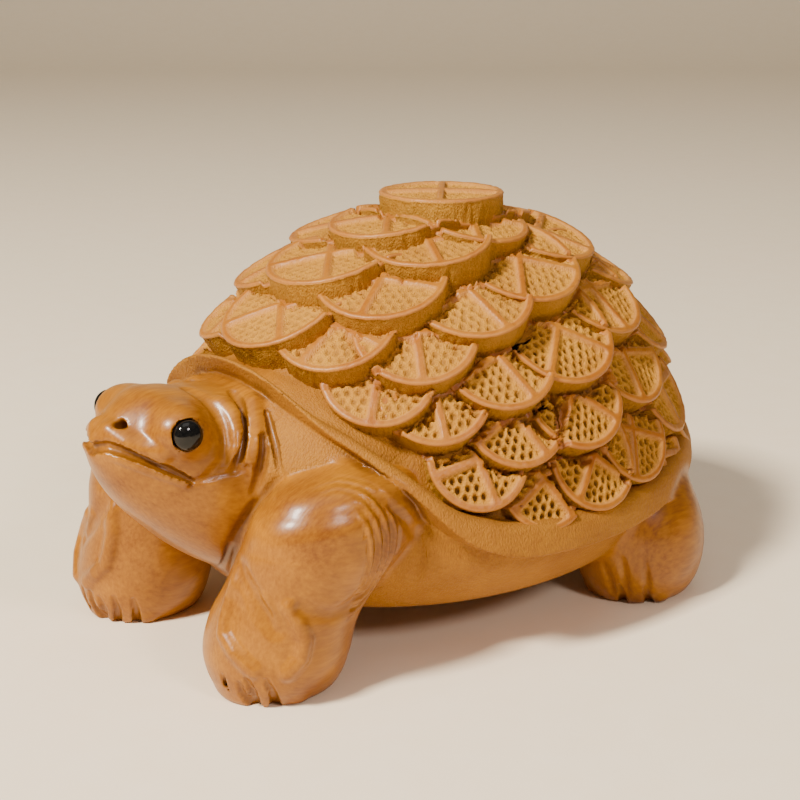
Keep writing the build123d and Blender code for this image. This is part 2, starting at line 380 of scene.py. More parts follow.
head_welts = [
    (lower_lip_line, 0.5, [0, 0.14, 0.14, 0.12, 0], 0.6),
    ([(224, 402), (234, 416), (237, 432), (236, 448)], 0.9, [0, 0.25, 0.25, 0], 1.2),
    ([(252, 402), (254, 420), (254, 440), (250, 458)], 1.0, [0, 0.25, 0.25, 0], 1.2),
    ([(112, 436), (126, 442), (142, 449), (160, 455)], 0.9, [0, 0.12, 0.12, 0], 1.2),
]
throat_line = [(281, 478), (266, 494), (251, 512), (239, 528), (231, 543), (223, 570)]
shoulder_line = [(366, 489), (388, 505), (406, 521), (418, 537), (421, 556), (417, 576)]
elbow_line = [(303, 608), (316, 614), (332, 616), (346, 609), (357, 598)]
shoulder_cuts = [
    (throat_line, 0.45, [0.1, 0.3, 0.35, 0.35, 0.25, 0], 0.9),
    (shoulder_line, 0.5, [0, 0.2, 0.25, 0.25, 0.2, 0], 0.9),
    (elbow_line, 0.6, [0, 0.2, 0.25, 0.2, 0], 1.4),
    ([(242, 572), (252, 592), (264, 612), (276, 630)], 0.7, [0, 0.25, 0.3, 0], 1.5),
]
ripple_line = [(340, 511), (353, 517), (363, 529), (367, 545), (367, 562), (362, 582)]
ripple_gap = 1.35
ripple_count = 5
ripple_height = 0.22
forearm_line = [(238, 572), (231, 597), (225, 620), (224, 634), (234, 652), (252, 671)]
shoulder_welts = [
    (forearm_line, 0.45, [0, 0.4, 0.6, 0.6, 0.55, 0], 1.3),
    ([(289, 608), (298, 622), (305, 641), (301, 659), (288, 674)], 0.45, [0, 0.45, 0.6, 0.5, 0], 1.3),
    ([(262, 598), (270, 612), (277, 626)], 0.35, [0, 0.4, 0], 1.0),
]
rear_cuts = [
    ([(622, 560), (625, 577), (627, 594)], 0.4, [0, 0.3, 0.3], 0.7),
    ([(643, 553), (646, 572), (648, 592)], 0.4, [0, 0.3, 0.3], 0.7),
    ([(604, 565), (610, 580), (614, 593)], 0.4, [0, 0.3, 0.3], 0.7),
]


def laid(lines, raised):
    """Each line on the surface of both sides, sunk or lifted so that the cut or the welt has its depth."""
    strokes = []
    for pixels, half_widths, depth, softness in lines:
        half_widths = np.broadcast_to(half_widths, len(pixels))
        left = on_wood(pixels)
        for line in (left, settled(left * [-1, 1, 1])):
            outward = steepest(rough_form, line)
            depths = np.broadcast_to(depth, len(pixels))
            lift = depths - half_widths if raised else half_widths - depths
            layers = max(1, int(np.ceil(-lift.min() / half_widths.max())) + 1)
            for share in np.linspace(1, 0, layers, endpoint=False):
                strokes.append((line + outward * (lift * share)[:, None], half_widths, softness))
    return strokes


toe_cuts = [
    ([(246, 680), (252, 691), (255, 702), (256, 712)], [0.2, 0.35, 0.5, 0.6], [0.1, 0.5, 0.7, 0.7], 0.4),
    ([(266, 681), (272, 692), (275, 702), (276, 712)], [0.2, 0.35, 0.5, 0.6], [0.1, 0.5, 0.7, 0.7], 0.4),
    ([(619, 586), (622, 596), (623, 606)], [0.2, 0.4, 0.5], [0.1, 0.5, 0.6], 0.4),
    ([(645, 588), (648, 598), (649, 608)], [0.2, 0.4, 0.5], [0.1, 0.5, 0.6], 0.4),
]
right_toe_cuts = [
    ([(99, 598), (103, 608), (104, 618)], [0.2, 0.4, 0.5], [0.1, 0.5, 0.6], 0.4),
    ([(113, 598), (117, 610), (118, 622)], [0.2, 0.4, 0.5], [0.1, 0.5, 0.6], 0.4),
    ([(133, 600), (136, 611), (137, 623)], [0.2, 0.4, 0.5], [0.1, 0.5, 0.6], 0.4),
]
cuts = laid(head_cuts + shoulder_cuts + rear_cuts + toe_cuts, raised=False)
cuts += laid(right_toe_cuts, raised=False)
lip_gap = 0.6
lip_depth = 0.55
mouth_start = on_wood(mouth_line[:1])[0]
across_lips = settled(np.stack([mouth_start, mouth_start * [0, 1, 1] - [0, 2, 0], mirrored(mouth_start)]))
across_lips = across_lips + steepest(rough_form, across_lips) * (lip_gap - lip_depth)
cuts.append((across_lips, np.full(len(across_lips), lip_gap), 0.3))
ripple_start = on_wood(ripple_line)
mirrored_ripple_start = settled(ripple_start * [-1, 1, 1])
welts = laid(head_welts + shoulder_welts, raised=True)

nostril_radius = 0.75
nostril_ends = [(2.6, -55.4, 36.0), (2.0, -53.0, 34.0)]
eye_turn = 78
eye_lift = 6
eye_radius = 1.9
eye_seat = 1.6
eyelid_radius = 3.9
glue_gap = 0.05


def eye_axis(side):
    turn, level = radians(eye_turn), cos(radians(eye_lift))
    return np.array([side * sin(turn) * level, -cos(turn) * level, sin(radians(eye_lift))])


def stroke(points, line, half_widths):
    return np.minimum.reduce([
        bar(points, start, end, a, b)
        for start, end, a, b in zip(line, line[1:], half_widths, half_widths[1:])
    ])


def smooth_step(value, low, high):
    share = np.clip((value - low) / (high - low), 0, 1)
    return share * share * (3 - 2 * share)


def shoulder_ripples(points, start):
    """Low waves in the skin behind the shoulder, one behind the other from the starting line."""
    gap = stroke(points, start, np.zeros(len(start)))
    nearest = start[np.argmin(np.linalg.norm(points[:, None] - start[None], axis=2), axis=1)]
    behind = smooth_step(points[:, 1] - nearest[:, 1] + gap * 0.2, -0.3, 0.3)
    from_start = smooth_step(np.linalg.norm(points - start[0], axis=1), 1.5, 5)
    fade = smooth_step(ripple_gap * ripple_count - gap, 0, ripple_gap * 2) * behind * from_start
    return ripple_height * fade * np.cos(2 * pi * gap / ripple_gap)


def worked(form, points, tool, low, high, softness, join):
    """The form changed by a tool, only near the box that the tool works in."""
    margin = softness + 1.0
    near = ((points > low - margin) & (points < high + margin)).all(1)
    if near.any():
        form[near] = join(form[near], tool(points[near]), softness)
    return form


def cut_out(form, tool, softness):
    return soft_max(form, -tool, softness)


def carved_form(points):
    """The finished animal without its scales."""
    form = rough_form(points)
    for start in (ripple_start, mirrored_ripple_start):
        low, high = start.min(0), start.max(0)
        form = worked(
            form, points, lambda p: shoulder_ripples(p, start), low, high, ripple_gap * ripple_count,
            lambda a, b, softness: a + b,
        )
    for lines, join in ((welts, soft_min), (cuts, cut_out)):
        for line, half_widths, softness in lines:
            low, high = line.min(0) - half_widths.max(), line.max(0) + half_widths.max()
            form = worked(form, points, lambda p: stroke(p, line, half_widths), low, high, softness, join)
    for side in (1, -1):
        flip = np.array([side, 1, 1])
        start, end = (np.array(place) * flip for place in nostril_ends)
        low, high = np.minimum(start, end) - 1, np.maximum(start, end) + 1
        form = worked(
            form, points, lambda p: bar(p, start, end, nostril_radius, nostril_radius * 0.8),
            low, high, 0.3, cut_out,
        )
        seat = eye_spot * flip + eye_axis(side) * (eyelid_radius - eye_seat)
        outside = seat + eye_axis(side) * eye_radius * 2
        socket_radius = eye_radius + glue_gap
        low, high = np.minimum(seat, outside) - 2, np.maximum(seat, outside) + 2
        form = worked(
            form, points, lambda p: bar(p, seat, outside, socket_radius, socket_radius),
            low, high, 0.25, cut_out,
        )
    return form


# Carving the block: the finished form is cut out of a fine lattice of cells,
# and each corner of the mesh is then drawn onto the true surface.
block_low = np.array([-36.0, -60.0, -1.0])
block_high = np.array([36.0, 47.0, 57.5])
cell = 0.4
block_cells = 4
far_inside_share = 1.4


def in_parts(form, points, part=200000):
    return np.concatenate([form(points[i:i + part]) for i in range(0, len(points), part)])


def spread(values):
    """Values of the coarse blocks, repeated for the fine cells in each."""
    for axis in range(3):
        values = values.repeat(block_cells, axis)
    return values


def lattice_distances(form):
    """Distances at the corners of the fine lattice, worked out only near the surface."""
    coarse = cell * block_cells
    blocks = np.ceil((block_high - block_low) / coarse).astype(int)
    corners = np.stack(np.meshgrid(*[np.arange(n + 1) for n in blocks], indexing="ij"), -1).reshape(-1, 3)
    rough = in_parts(form, block_low + corners * coarse).reshape(blocks + 1)
    near = np.abs(rough) < coarse * far_inside_share
    active = np.zeros(blocks, bool)
    for shift in np.ndindex(2, 2, 2):
        part = tuple(slice(s, s + n) for s, n in zip(shift, blocks))
        active |= near[part]
    fine_shape = blocks * block_cells + 1
    fine = np.zeros(fine_shape, bool)
    for shift in np.ndindex(2, 2, 2):
        part = tuple(slice(s, s + n * block_cells) for s, n in zip(shift, blocks))
        fine[part] |= spread(active)
    distances = np.ones(fine_shape, np.float32)
    distances[:-1, :-1, :-1] = np.sign(spread(rough[:-1, :-1, :-1]))
    spots = np.argwhere(fine)
    distances[fine] = in_parts(form, block_low + spots * cell)
    return distances


def surface_net(distances):
    """Corner places and four-sided faces of the surface where the distance is zero."""
    inside = distances < 0
    shape = np.array(distances.shape) - 1
    count = np.zeros(shape, np.int8)
    for shift in np.ndindex(2, 2, 2):
        count += inside[tuple(slice(s, s + n) for s, n in zip(shift, shape))]
    crossed = (count > 0) & (count < 8)
    cells = np.argwhere(crossed)
    number = np.full(shape, -1, np.int64)
    number[crossed] = np.arange(len(cells))
    total, hits = np.zeros((len(cells), 3)), np.zeros(len(cells))
    for axis in range(3):
        step = np.eye(3, dtype=int)[axis]
        others = [a for a in range(3) if a != axis]
        for shift in np.ndindex(2, 2):
            start = np.zeros(3, int)
            start[others] = shift
            a = distances[tuple((cells + start).T)]
            b = distances[tuple((cells + start + step).T)]
            cross = (a < 0) != (b < 0)
            share = np.where(cross, a / np.where(cross, a - b, 1), 0)
            total += np.where(cross[:, None], start + share[:, None] * step, 0)
            hits += cross
    places = block_low + (cells + total / hits[:, None]) * cell
    faces = []
    for axis in range(3):
        step = np.eye(3, dtype=int)[axis]
        one, two = np.eye(3, dtype=int)[(axis + 1) % 3], np.eye(3, dtype=int)[(axis + 2) % 3]
        here = inside[tuple(slice(1, n) for n in shape)]
        there = inside[tuple(slice(1 + s, n + s) for s, n in zip(step, shape))]
        edges = np.argwhere(here != there) + 1
        outward = here[tuple((edges - 1).T)]
        ring = [number[tuple((edges - shift).T)] for shift in (one + two, two, 0 * one, one)]
        quad = np.stack(ring, 1)
        quad[~outward] = quad[~outward][:, ::-1]
        faces.append(quad)
    return places, np.concatenate(faces)


def wood_mesh(name, places, faces, marks, normals=None):
    """A mesh object in the frame, with its marks for the finish."""
    mesh = bpy.data.meshes.new(name)
    mesh.vertices.add(len(places))
    mesh.vertices.foreach_set("co", in_frame(places).astype(np.float32).ravel())
    sides = faces.shape[1]
    mesh.loops.add(faces.size)
    mesh.loops.foreach_set("vertex_index", faces.astype(np.int32).ravel())
    mesh.polygons.add(len(faces))
    mesh.polygons.foreach_set("loop_start", np.arange(len(faces), dtype=np.int32) * sides)
    mesh.update(calc_edges=True)
    mesh.validate()
    mesh.shade_smooth()
    for mark, values in marks.items():
        mesh.attributes.new(mark, "FLOAT", "POINT").data.foreach_set("value", values.astype(np.float32))
    if normals is not None:
        mesh.normals_split_custom_set_from_vertices(normals.astype(np.float32))
    piece = bpy.data.objects.new(name, mesh)
    bpy.context.scene.collection.objects.link(piece)
    return piece


def used_only(places, faces, *others):
    """The corners that the faces use, and the faces numbered anew."""
    used, index = np.unique(faces, return_inverse=True)
    return (places[used], index.reshape(faces.shape)) + tuple(values[used] for values in others)


places, faces = surface_net(lattice_distances(carved_form))
for _ in range(2):
    slope = in_parts(lambda p: steepest(carved_form, p), places)
    move = np.clip(in_parts(carved_form, places), -cell / 2, cell / 2)
    places = places - slope * move[:, None]
normal_reach = 0.12
surface_normals = in_parts(lambda p: steepest(carved_form, p, normal_reach), places)


# Where the scales sit: rows of round plates laid like roof tiles from the crown down.
# The table gives the turn from the nose, and the height on the dome as a share of its rise.
scale_thickness = 6.0
row_lift_angles = [3, 12, 13, 13, 13, 13]
row_radii = [8.3, 8.1, 8.0, 7.5, 7.0, 6.4]
row_shares = [
    [(0, 0.976), (98, 0.970), (180, 0.976)],
    [(0, 0.889), (45, 0.938), (96, 0.861), (140, 0.906), (180, 0.880)],
    [(0, 0.762), (29, 0.845), (62, 0.807), (93, 0.676), (125, 0.745), (156, 0.800)],
    [(20.5, 0.734), (43, 0.712), (67, 0.639), (90, 0.506), (119, 0.562), (146, 0.635), (180, 0.715)],
    [(34.5, 0.612), (48, 0.564), (69, 0.485), (92, 0.320), (110, 0.348), (134, 0.415), (161, 0.520)],
    [(58, 0.378), (75, 0.292), (123, 0.225), (148, 0.300), (180, 0.365)],
]
crown_radius = 8.9
crown_wall = 1.6
crown_setback = 1.9
tile_rise_share = 0.92
face_growths = [1.02, 1.1, 1.1, 1.1, 1.08, 1.08]
face_lift_up = 1.3
roll_angles = [0, 8, 7, 5, 4, 3]
tuck_under = 1.6


def scale_seat(turn, share, lift_angle, roll_angle):
    """Middle of a scale's face and its axes: across, up the slope and outward.
    The rear side of each face stands a little proud of the scale behind it."""
    heading = np.array([sin(radians(turn)), -cos(radians(turn)), 0])
    half = np.array([shell_half_width, shell_half_length, 1])
    middle = heading * sqrt(1 - share**2) / np.linalg.norm(heading / half)
    slope = np.array([*(middle[:2] / half[:2] ** 2), share / shell_rise])
    slope /= np.linalg.norm(slope)
    outward = np.array([*slope[:2], 0]) / np.linalg.norm(slope[:2])
    lean = np.arcsin(slope @ outward) - radians(lift_angle)
    face = outward * np.sin(lean) + np.array([0, 0, np.cos(lean)])
    across = np.array([-outward[1], outward[0], 0])
    up_slope = np.cross(face, across)
    roll = radians(roll_angle) * sin(radians(turn))
    across, face = across * cos(roll) + face * sin(roll), face * cos(roll) - across * sin(roll)
    middle = middle + [0, 0, shell_level + share * shell_rise] + up_slope * face_lift_up
    return middle, np.stack([across, up_slope, face])


plates = []
for row, shares in enumerate(row_shares):
    for turn, share in shares:
        for signed in [turn] if turn in (0, 180) else [turn, -turn]:
            middle, axes = scale_seat(signed, share, row_lift_angles[row], roll_angles[row])
            radius = row_radii[row] * face_growths[row]
            plates.append({"row": row, "middle": middle, "axes": axes, "radius": radius, "turn": signed})
crown_middle = np.array([0, crown_setback, shell_level + shell_rise + crown_wall])
plates.append({"row": -1, "middle": crown_middle, "axes": np.eye(3), "radius": crown_radius, "turn": 0})


def past_edge(plate, u, v):
    """How far a point lies outside a scale's outline: a half circle whose sides run on up the slope."""
    if plate["row"] < 0:
        return np.hypot(u, v) - plate["radius"]
    sides = np.maximum(np.abs(u), v / tile_rise_share) - plate["radius"]
    return np.where(v > 0, sides, np.hypot(u, v) - plate["radius"])


skin_unseen = 0.8
scale_unseen = 1.6
lower_half_share = 0.25
face_cover = 2.0
foot_cover = 0.5
lap_edge = 0.3
lap_depth = 1.2
lap_height = 5


def buried(points, skipped=None):
    """Which points lie well inside a plate, or over the face of a plate in a higher row."""
    unseen = skin_unseen if skipped is None else scale_unseen
    hidden = np.zeros(len(points), bool)
    for plate in plates:
        if plate is skipped:
            continue
        local = (points - plate["middle"]) @ plate["axes"].T
        inside = -past_edge(plate, local[:, 0], local[:, 1])
        lower_half = local[:, 1] < plate["radius"] * lower_half_share
        rise = local[:, 2]
        within = (rise < -face_cover) & (rise > foot_cover - scale_thickness)
        hidden |= (inside > unseen) & lower_half & within
        if skipped is not None and plate["row"] < skipped["row"]:
            lapped = (rise > -lap_depth) & (rise < lap_height)
            hidden |= (inside > lap_edge) & lower_half & lapped
    return hidden


# Colour and finish of the boxwood. The grain and the fine knife marks are effects
# that the animal and its scales share, each with its own strength.
def node_group(name, inputs, outputs):
    group = bpy.data.node_groups.new(name, "ShaderNodeTree")
    for socket, kind, value in inputs:
        made = group.interface.new_socket(socket, in_out="INPUT", socket_type=kind)
        made.default_value = value
    for socket, kind in outputs:
        group.interface.new_socket(socket, in_out="OUTPUT", socket_type=kind)
    return group, group.nodes.new("NodeGroupInput"), group.nodes.new("NodeGroupOutput")


def noise_node(tree, vector, size, detail=4.0, roughness=0.55, distortion=0.0):
    """Noise whose blotches are about this many mm across."""
    node = tree.nodes.new("ShaderNodeTexNoise")
    node.inputs["Scale"].default_value = 1 / (size * mm)
    node.inputs["Detail"].default_value = detail
    node.inputs["Roughness"].default_value = roughness
    node.inputs["Distortion"].default_value = distortion
    tree.links.new(vector, node.inputs["Vector"])
    return node.outputs["Fac"]


def stretched(tree, vector, stretch, turn=(0, 0, 0)):
    node = tree.nodes.new("ShaderNodeMapping")
    node.inputs["Scale"].default_value = stretch
    node.inputs["Rotation"].default_value = [radians(angle) for angle in turn]
    tree.links.new(vector, node.inputs["Vector"])
    return node.outputs["Vector"]


def fill(tree, sockets, values):
    """Each socket linked to its value, or set to it when the value is plain."""
    for socket, value in zip(sockets, values):
        if hasattr(value, "is_output"):
            tree.links.new(value, socket)
        else:
            socket.default_value = value


def math_node(tree, operation, *values):
    node = tree.nodes.new("ShaderNodeMath")
    node.operation = operation
    fill(tree, node.inputs, values)
    return node.outputs[0]


def mix_colours(tree, share, a, b):
    node = tree.nodes.new("ShaderNodeMix")
    node.data_type = "RGBA"
    fill(tree, (node.inputs[0], node.inputs[6], node.inputs[7]), (share, a, b))
    return node.outputs[2]


def ramp(tree, value, low, high):
    """The value spread from 0 at low to 1 at high."""
    node = tree.nodes.new("ShaderNodeMapRange")
    node.inputs["From Min"].default_value = low
    node.inputs["From Max"].default_value = high
    tree.links.new(value, node.inputs["Value"])
    return node.outputs["Result"]


def wood_grain():
    """Long fibres along the turtle, growth tints and short dark flecks."""
    group, given, out = node_group(
        "wood_grain",
        [("Light", "NodeSocketColor", (1, 1, 1, 1)), ("Dark", "NodeSocketColor", (0, 0, 0, 1)),
         ("Contrast", "NodeSocketFloat", 1.0)],
        [("Color", "NodeSocketColor"), ("Height", "NodeSocketFloat")],
    )
    place = group.nodes.new("ShaderNodeTexCoord").outputs["Object"]
    fibres = noise_node(group, stretched(group, place, (1, 0.09, 0.55), (6, 0, 9)), 0.34, 5)
    flecks = noise_node(group, stretched(group, place, (1, 0.16, 0.6), (-4, 0, -6)), 0.55, 3)
    clouds = noise_node(group, place, 9.0, 3, 0.5, 0.6)
    fibre_tint = math_node(group, "MULTIPLY", fibres, 0.55)
    tint = math_node(group, "ADD", fibre_tint, math_node(group, "MULTIPLY", clouds, 0.75))
    share = math_node(group, "MULTIPLY", ramp(group, tint, 0.42, 0.9), given.outputs["Contrast"])
    colour = mix_colours(group, share, given.outputs["Light"], given.outputs["Dark"])
    fleck_share = math_node(group, "MULTIPLY", ramp(group, flecks, 0.62, 0.74), 0.35)
    fleck_share = math_node(group, "MULTIPLY", fleck_share, given.outputs["Contrast"])
    colour = mix_colours(group, fleck_share, colour, given.outputs["Dark"])
    group.links.new(colour, out.inputs["Color"])
    group.links.new(fibres, out.inputs["Height"])
    return group


knife_stroke = 0.22
knife_grit = 0.14


def knife_marks():
    """Small overlapping strokes of a fine gouge, left where the wood isn't polished."""
    group, given, out = node_group(
        "knife_marks",
        [("Strength", "NodeSocketFloat", 1.0), ("Size", "NodeSocketFloat", 1.0)],
        [("Height", "NodeSocketFloat"), ("Tint", "NodeSocketFloat")],
    )
    place = group.nodes.new("ShaderNodeTexCoord").outputs["Object"]
    bent = group.nodes.new("ShaderNodeVectorMath")
    bent.operation = "SCALE"
    group.links.new(place, bent.inputs[0])
    group.links.new(given.outputs["Size"], bent.inputs["Scale"])
    strokes = group.nodes.new("ShaderNodeTexVoronoi")
    strokes.feature = "SMOOTH_F1"
    strokes.inputs["Scale"].default_value = 1 / (knife_stroke * mm)
    strokes.inputs["Smoothness"].default_value = 0.4
    leaning = stretched(group, bent.outputs[0], (1, 0.9, 0.45), (0, 0, 25))
    group.links.new(leaning, strokes.inputs["Vector"])
    grit = noise_node(group, bent.outputs[0], knife_grit, 3)
    height = math_node(group, "ADD", strokes.outputs["Distance"], math_node(group, "MULTIPLY", grit, 0.6))
    height = math_node(group, "MULTIPLY", height, given.outputs["Strength"])
    group.links.new(height, out.inputs["Height"])
    tint = ramp(group, strokes.outputs["Distance"], 0.2, 0.75)
    group.links.new(math_node(group, "MULTIPLY", tint, given.outputs["Strength"]), out.inputs["Tint"])
    return group


grain_group = wood_grain()
marks_group = knife_marks()


def placed_group(tree, group, **values):
    node = tree.nodes.new("ShaderNodeGroup")
    node.node_tree = group
    fill(tree, [node.inputs[name] for name in values], values.values())
    return node


def new_material(name):
    material = bpy.data.materials.new(name)
    material.use_nodes = True
    return material, material.node_tree, material.node_tree.nodes["Principled BSDF"]


def mark_of(tree, name):
    node = tree.nodes.new("ShaderNodeAttribute")
    node.attribute_name = name
    return node.outputs["Fac"]


def bumped(tree, height, distance, strength=1.0, under=None):
    node = tree.nodes.new("ShaderNodeBump")
    node.inputs["Distance"].default_value = distance * mm
    node.inputs["Strength"].default_value = strength
    tree.links.new(height, node.inputs["Height"])
    if under is not None:
        tree.links.new(under, node.inputs["Normal"])
    return node.outputs["Normal"]


polished_light = (0.42, 0.163, 0.006, 1)
polished_dark = (0.17, 0.045, 0.002, 1)
tooled_light = (0.41, 0.17, 0.006, 1)
tooled_dark = (0.25, 0.085, 0.003, 1)
painted_crease_shade = (0.09, 0.028, 0.004, 1)
polish_roughness = 0.36
tooled_roughness = 0.3
polish_coat = 0.15
fibre_depth = 0.03
knife_mark_depth = 0.1


def animal_wood():
    """Polished amber on the head and legs, dry and knife-marked under the shell, with painted shade
    darkening the creases and hollows.
    """
    material, tree, shader = new_material("boxwood_polished")
    tooled, hollow = mark_of(tree, "tooled"), mark_of(tree, "hollow")
    polished = placed_group(tree, grain_group, Light=polished_light, Dark=polished_dark, Contrast=1.0)
    dry = placed_group(tree, grain_group, Light=tooled_light, Dark=tooled_dark, Contrast=0.8)
    marks = placed_group(tree, marks_group, Strength=1.0, Size=1.0)
    dry_share = math_node(tree, "MULTIPLY", marks.outputs["Tint"], 0.35)
    dry_colour = mix_colours(tree, dry_share, dry.outputs["Color"], tooled_dark)
    colour = mix_colours(tree, tooled, polished.outputs["Color"], dry_colour)
    # Painted shade: creases and hollows are darkened towards a deep brown.
    colour = mix_colours(tree, math_node(tree, "MULTIPLY", hollow, 0.5), colour, painted_crease_shade)
    tree.links.new(colour, shader.inputs["Base Color"])
    rough = math_node(tree, "MULTIPLY_ADD", tooled, tooled_roughness, polish_roughness)
    tree.links.new(rough, shader.inputs["Roughness"])
    coat = math_node(tree, "MULTIPLY_ADD", tooled, -polish_coat, polish_coat)
    tree.links.new(coat, shader.inputs["Coat Weight"])
    shader.inputs["Coat Roughness"].default_value = 0.16
    shader.inputs["Specular IOR Level"].default_value = 0.35
    fibres = bumped(tree, polished.outputs["Height"], fibre_depth)
    strokes = math_node(tree, "MULTIPLY", marks.outputs["Height"], tooled)
    tree.links.new(bumped(tree, strokes, knife_mark_depth, 1.0, fibres), shader.inputs["Normal"])
    return material


# The animal: shell edge, body, head, legs and tail as one carved surface.
# It stands for the turned-out CAD block, and its bare wood is split into a front and a rear half
# only to keep each mesh light.
hollow_reach = 1.3
# Painted shade: how closed in each point of the surface is, so that creases and hollows can be darkened as
# if shade fell there.
in_air = in_parts(carved_form, places + surface_normals * hollow_reach) / hollow_reach
crease_shade_mark = smooth_step(1 - in_air, 0.25, 0.85)
skin_gap = in_parts(lambda p: np.minimum(head_form(p), legs_form(p)), places)
lifted = np.maximum(in_parts(rough_form, places), 0)
tooled_mark = smooth_step(skin_gap - lifted, 0.2, 1.4)

face_middles = places[faces].mean(1)
keep = ~buried(face_middles)
faces = faces[keep]
face_middles = face_middles[keep]
split_back = -24.0
in_front = face_middles[:, 1] < split_back
animal_material = animal_wood()
for name, half in (("carved_front", in_front), ("carved_rear", ~in_front)):
    half_places, half_faces, half_normals, hollow, tooled = used_only(
        places, faces[half], surface_normals, crease_shade_mark, tooled_mark
    )
    piece = wood_mesh(name, half_places, half_faces, {"hollow": hollow, "tooled": tooled}, half_normals)
    piece.data.materials.append(animal_material)
    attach(piece, "root")
    if name == "carved_front":
        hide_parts("carved_turtle")


# Scales: each is a round tile with a raised rim and four ribs that cross at its middle.
# The panels between them are sunk and pricked with rows of small pits, and the wall under the rim
# keeps the furrows of the knife. Where a tile meets the one above, the cut wood is torn.
grid_step = 0.24
rim_band = 0.9
rib_half = 0.42
panel_sink = 0.55
panel_slope = 0.2
edge_round = 0.22
face_bulge = 0.3
rib_angle = 45
panel_corner = 0.6
pit_gap = 1.32
pit_row_share = 0.9
pit_jitter = 0.16
pit_flatness = 0.8
pit_radius = 0.4
pit_depth = 0.95
tear_depth = 1.6
grain_lift = 0.05
panel_lift = 0.09
rib_grain = 0.7
panel_grain = 0.45
tear_grain = 0.55
tear_patch = 1.6
least_tear = 0.15
rib_highlight_place = (0.08, 0.16)
rim_highlight_place = (0.12, 0.18)
wall_rows = 16
wall_inset = 0.12
wall_taper = 0.05
furrow_width = 0.42
furrow_length = 2.6
furrow_relief = 0.14
scrape_width = 0.2
scrape_length = 0.8
scrape_relief = 0.07


def value_noise(u, v, seed):
    """Smooth noise between -1 and 1 with cells of one unit."""
    table = np.random.default_rng(seed).uniform(-1, 1, (64, 64))
    i, j = np.floor(u).astype(int), np.floor(v).astype(int)
    s, t = u - i, v - j
    s, t = s * s * (3 - 2 * s), t * t * (3 - 2 * t)
    corner = [table[(i + a) % 64, (j + b) % 64] for a, b in ((0, 0), (1, 0), (0, 1), (1, 1))]
    return (corner[0] * (1 - s) + corner[1] * s) * (1 - t) + (corner[2] * (1 - s) + corner[3] * s) * t


def disc_grid(radius, cells):
    """A square grid bent into a disc, as places and the ring of its edge."""
    side = np.linspace(-1, 1, cells + 1)
    a, b = np.meshgrid(side, side, indexing="ij")
    wide = np.abs(a) >= np.abs(b)
    reach = np.where(wide, a, b)
    safe = np.where(reach == 0, 1, reach)
    angle = np.where(wide, b / safe, a / safe) * pi / 4
    u = np.where(wide, reach * np.cos(angle), reach * np.sin(angle)) * radius
    v = np.where(wide, reach * np.sin(angle), reach * np.cos(angle)) * radius
    index = np.arange((cells + 1) ** 2).reshape(cells + 1, cells + 1)
    quads = np.stack([index[:-1, :-1], index[1:, :-1], index[1:, 1:], index[:-1, 1:]], -1).reshape(-1, 4)
    ring = np.concatenate([index[:-1, 0], index[-1, :-1], index[:0:-1, -1], index[0, :0:-1]])
    return u.ravel(), v.ravel(), quads, ring


def panel_depth(plate, u, v):
    """How far a point lies inside its panel, from the rim and the ribs; below zero on them."""
    from_rim = -past_edge(plate, u, v) - rim_band
    from_rib = np.full(u.shape, far_away)
    for angle in (rib_angle - plate["turn"], -rib_angle - plate["turn"]):
        across = np.abs(u * cos(radians(angle)) - v * sin(radians(angle)))
        from_rib = np.minimum(from_rib, across - rib_half)
    return -soft_max(-from_rim, -from_rib, panel_corner)


def pits(u, v, inside, seed):
    """Depth share of the pricked pits, in staggered rows."""
    row = np.round(v / (pit_gap * pit_row_share))
    shifted = u + (row % 2) * pit_gap / 2
    column = np.round(shifted / pit_gap)
    jitter_u = value_noise(column * 3.7 + 0.5, row * 5.3 + 0.5, seed) * pit_jitter
    jitter_v = value_noise(column * 2.9 + 9.5, row * 4.1 + 3.5, seed) * pit_jitter
    du = shifted - column * pit_gap - jitter_u
    dv = (v - row * pit_gap * pit_row_share - jitter_v) * pit_flatness
    gap = np.hypot(du, dv)
    size = pit_radius * (1 + 0.2 * value_noise(column * 1.7 + 4.5, row * 2.3 + 8.5, seed))
    return (1 - smooth_step(gap, size * 0.55, size * 1.15)) * smooth_step(inside, 0.25, 0.55)


def wall_gap(points, plate):
    """How near each point is to the wall of a tile above this one."""
    nearest = np.full(len(points), far_away)
    for other in plates:
        if other is plate:
            continue
        if other["middle"][2] < plate["middle"][2] - 1:
            continue
        local = (points - other["middle"]) @ other["axes"].T
        gap = past_edge(other, local[:, 0], local[:, 1])
        gap = np.where((local[:, 2] < 0.3) & (local[:, 2] > -scale_thickness), gap, far_away)
        nearest = np.minimum(nearest, np.abs(gap))
    return nearest


def line_share(place, middle, width):
    """1 on a line, and less on both sides of it."""
    return np.exp(-(((place - middle) / width) ** 2))


def on_plate(plate, u, v, height):
    across, up_slope, face = plate["axes"]
    return plate["middle"] + u[:, None] * across + v[:, None] * up_slope + height[:, None] * face


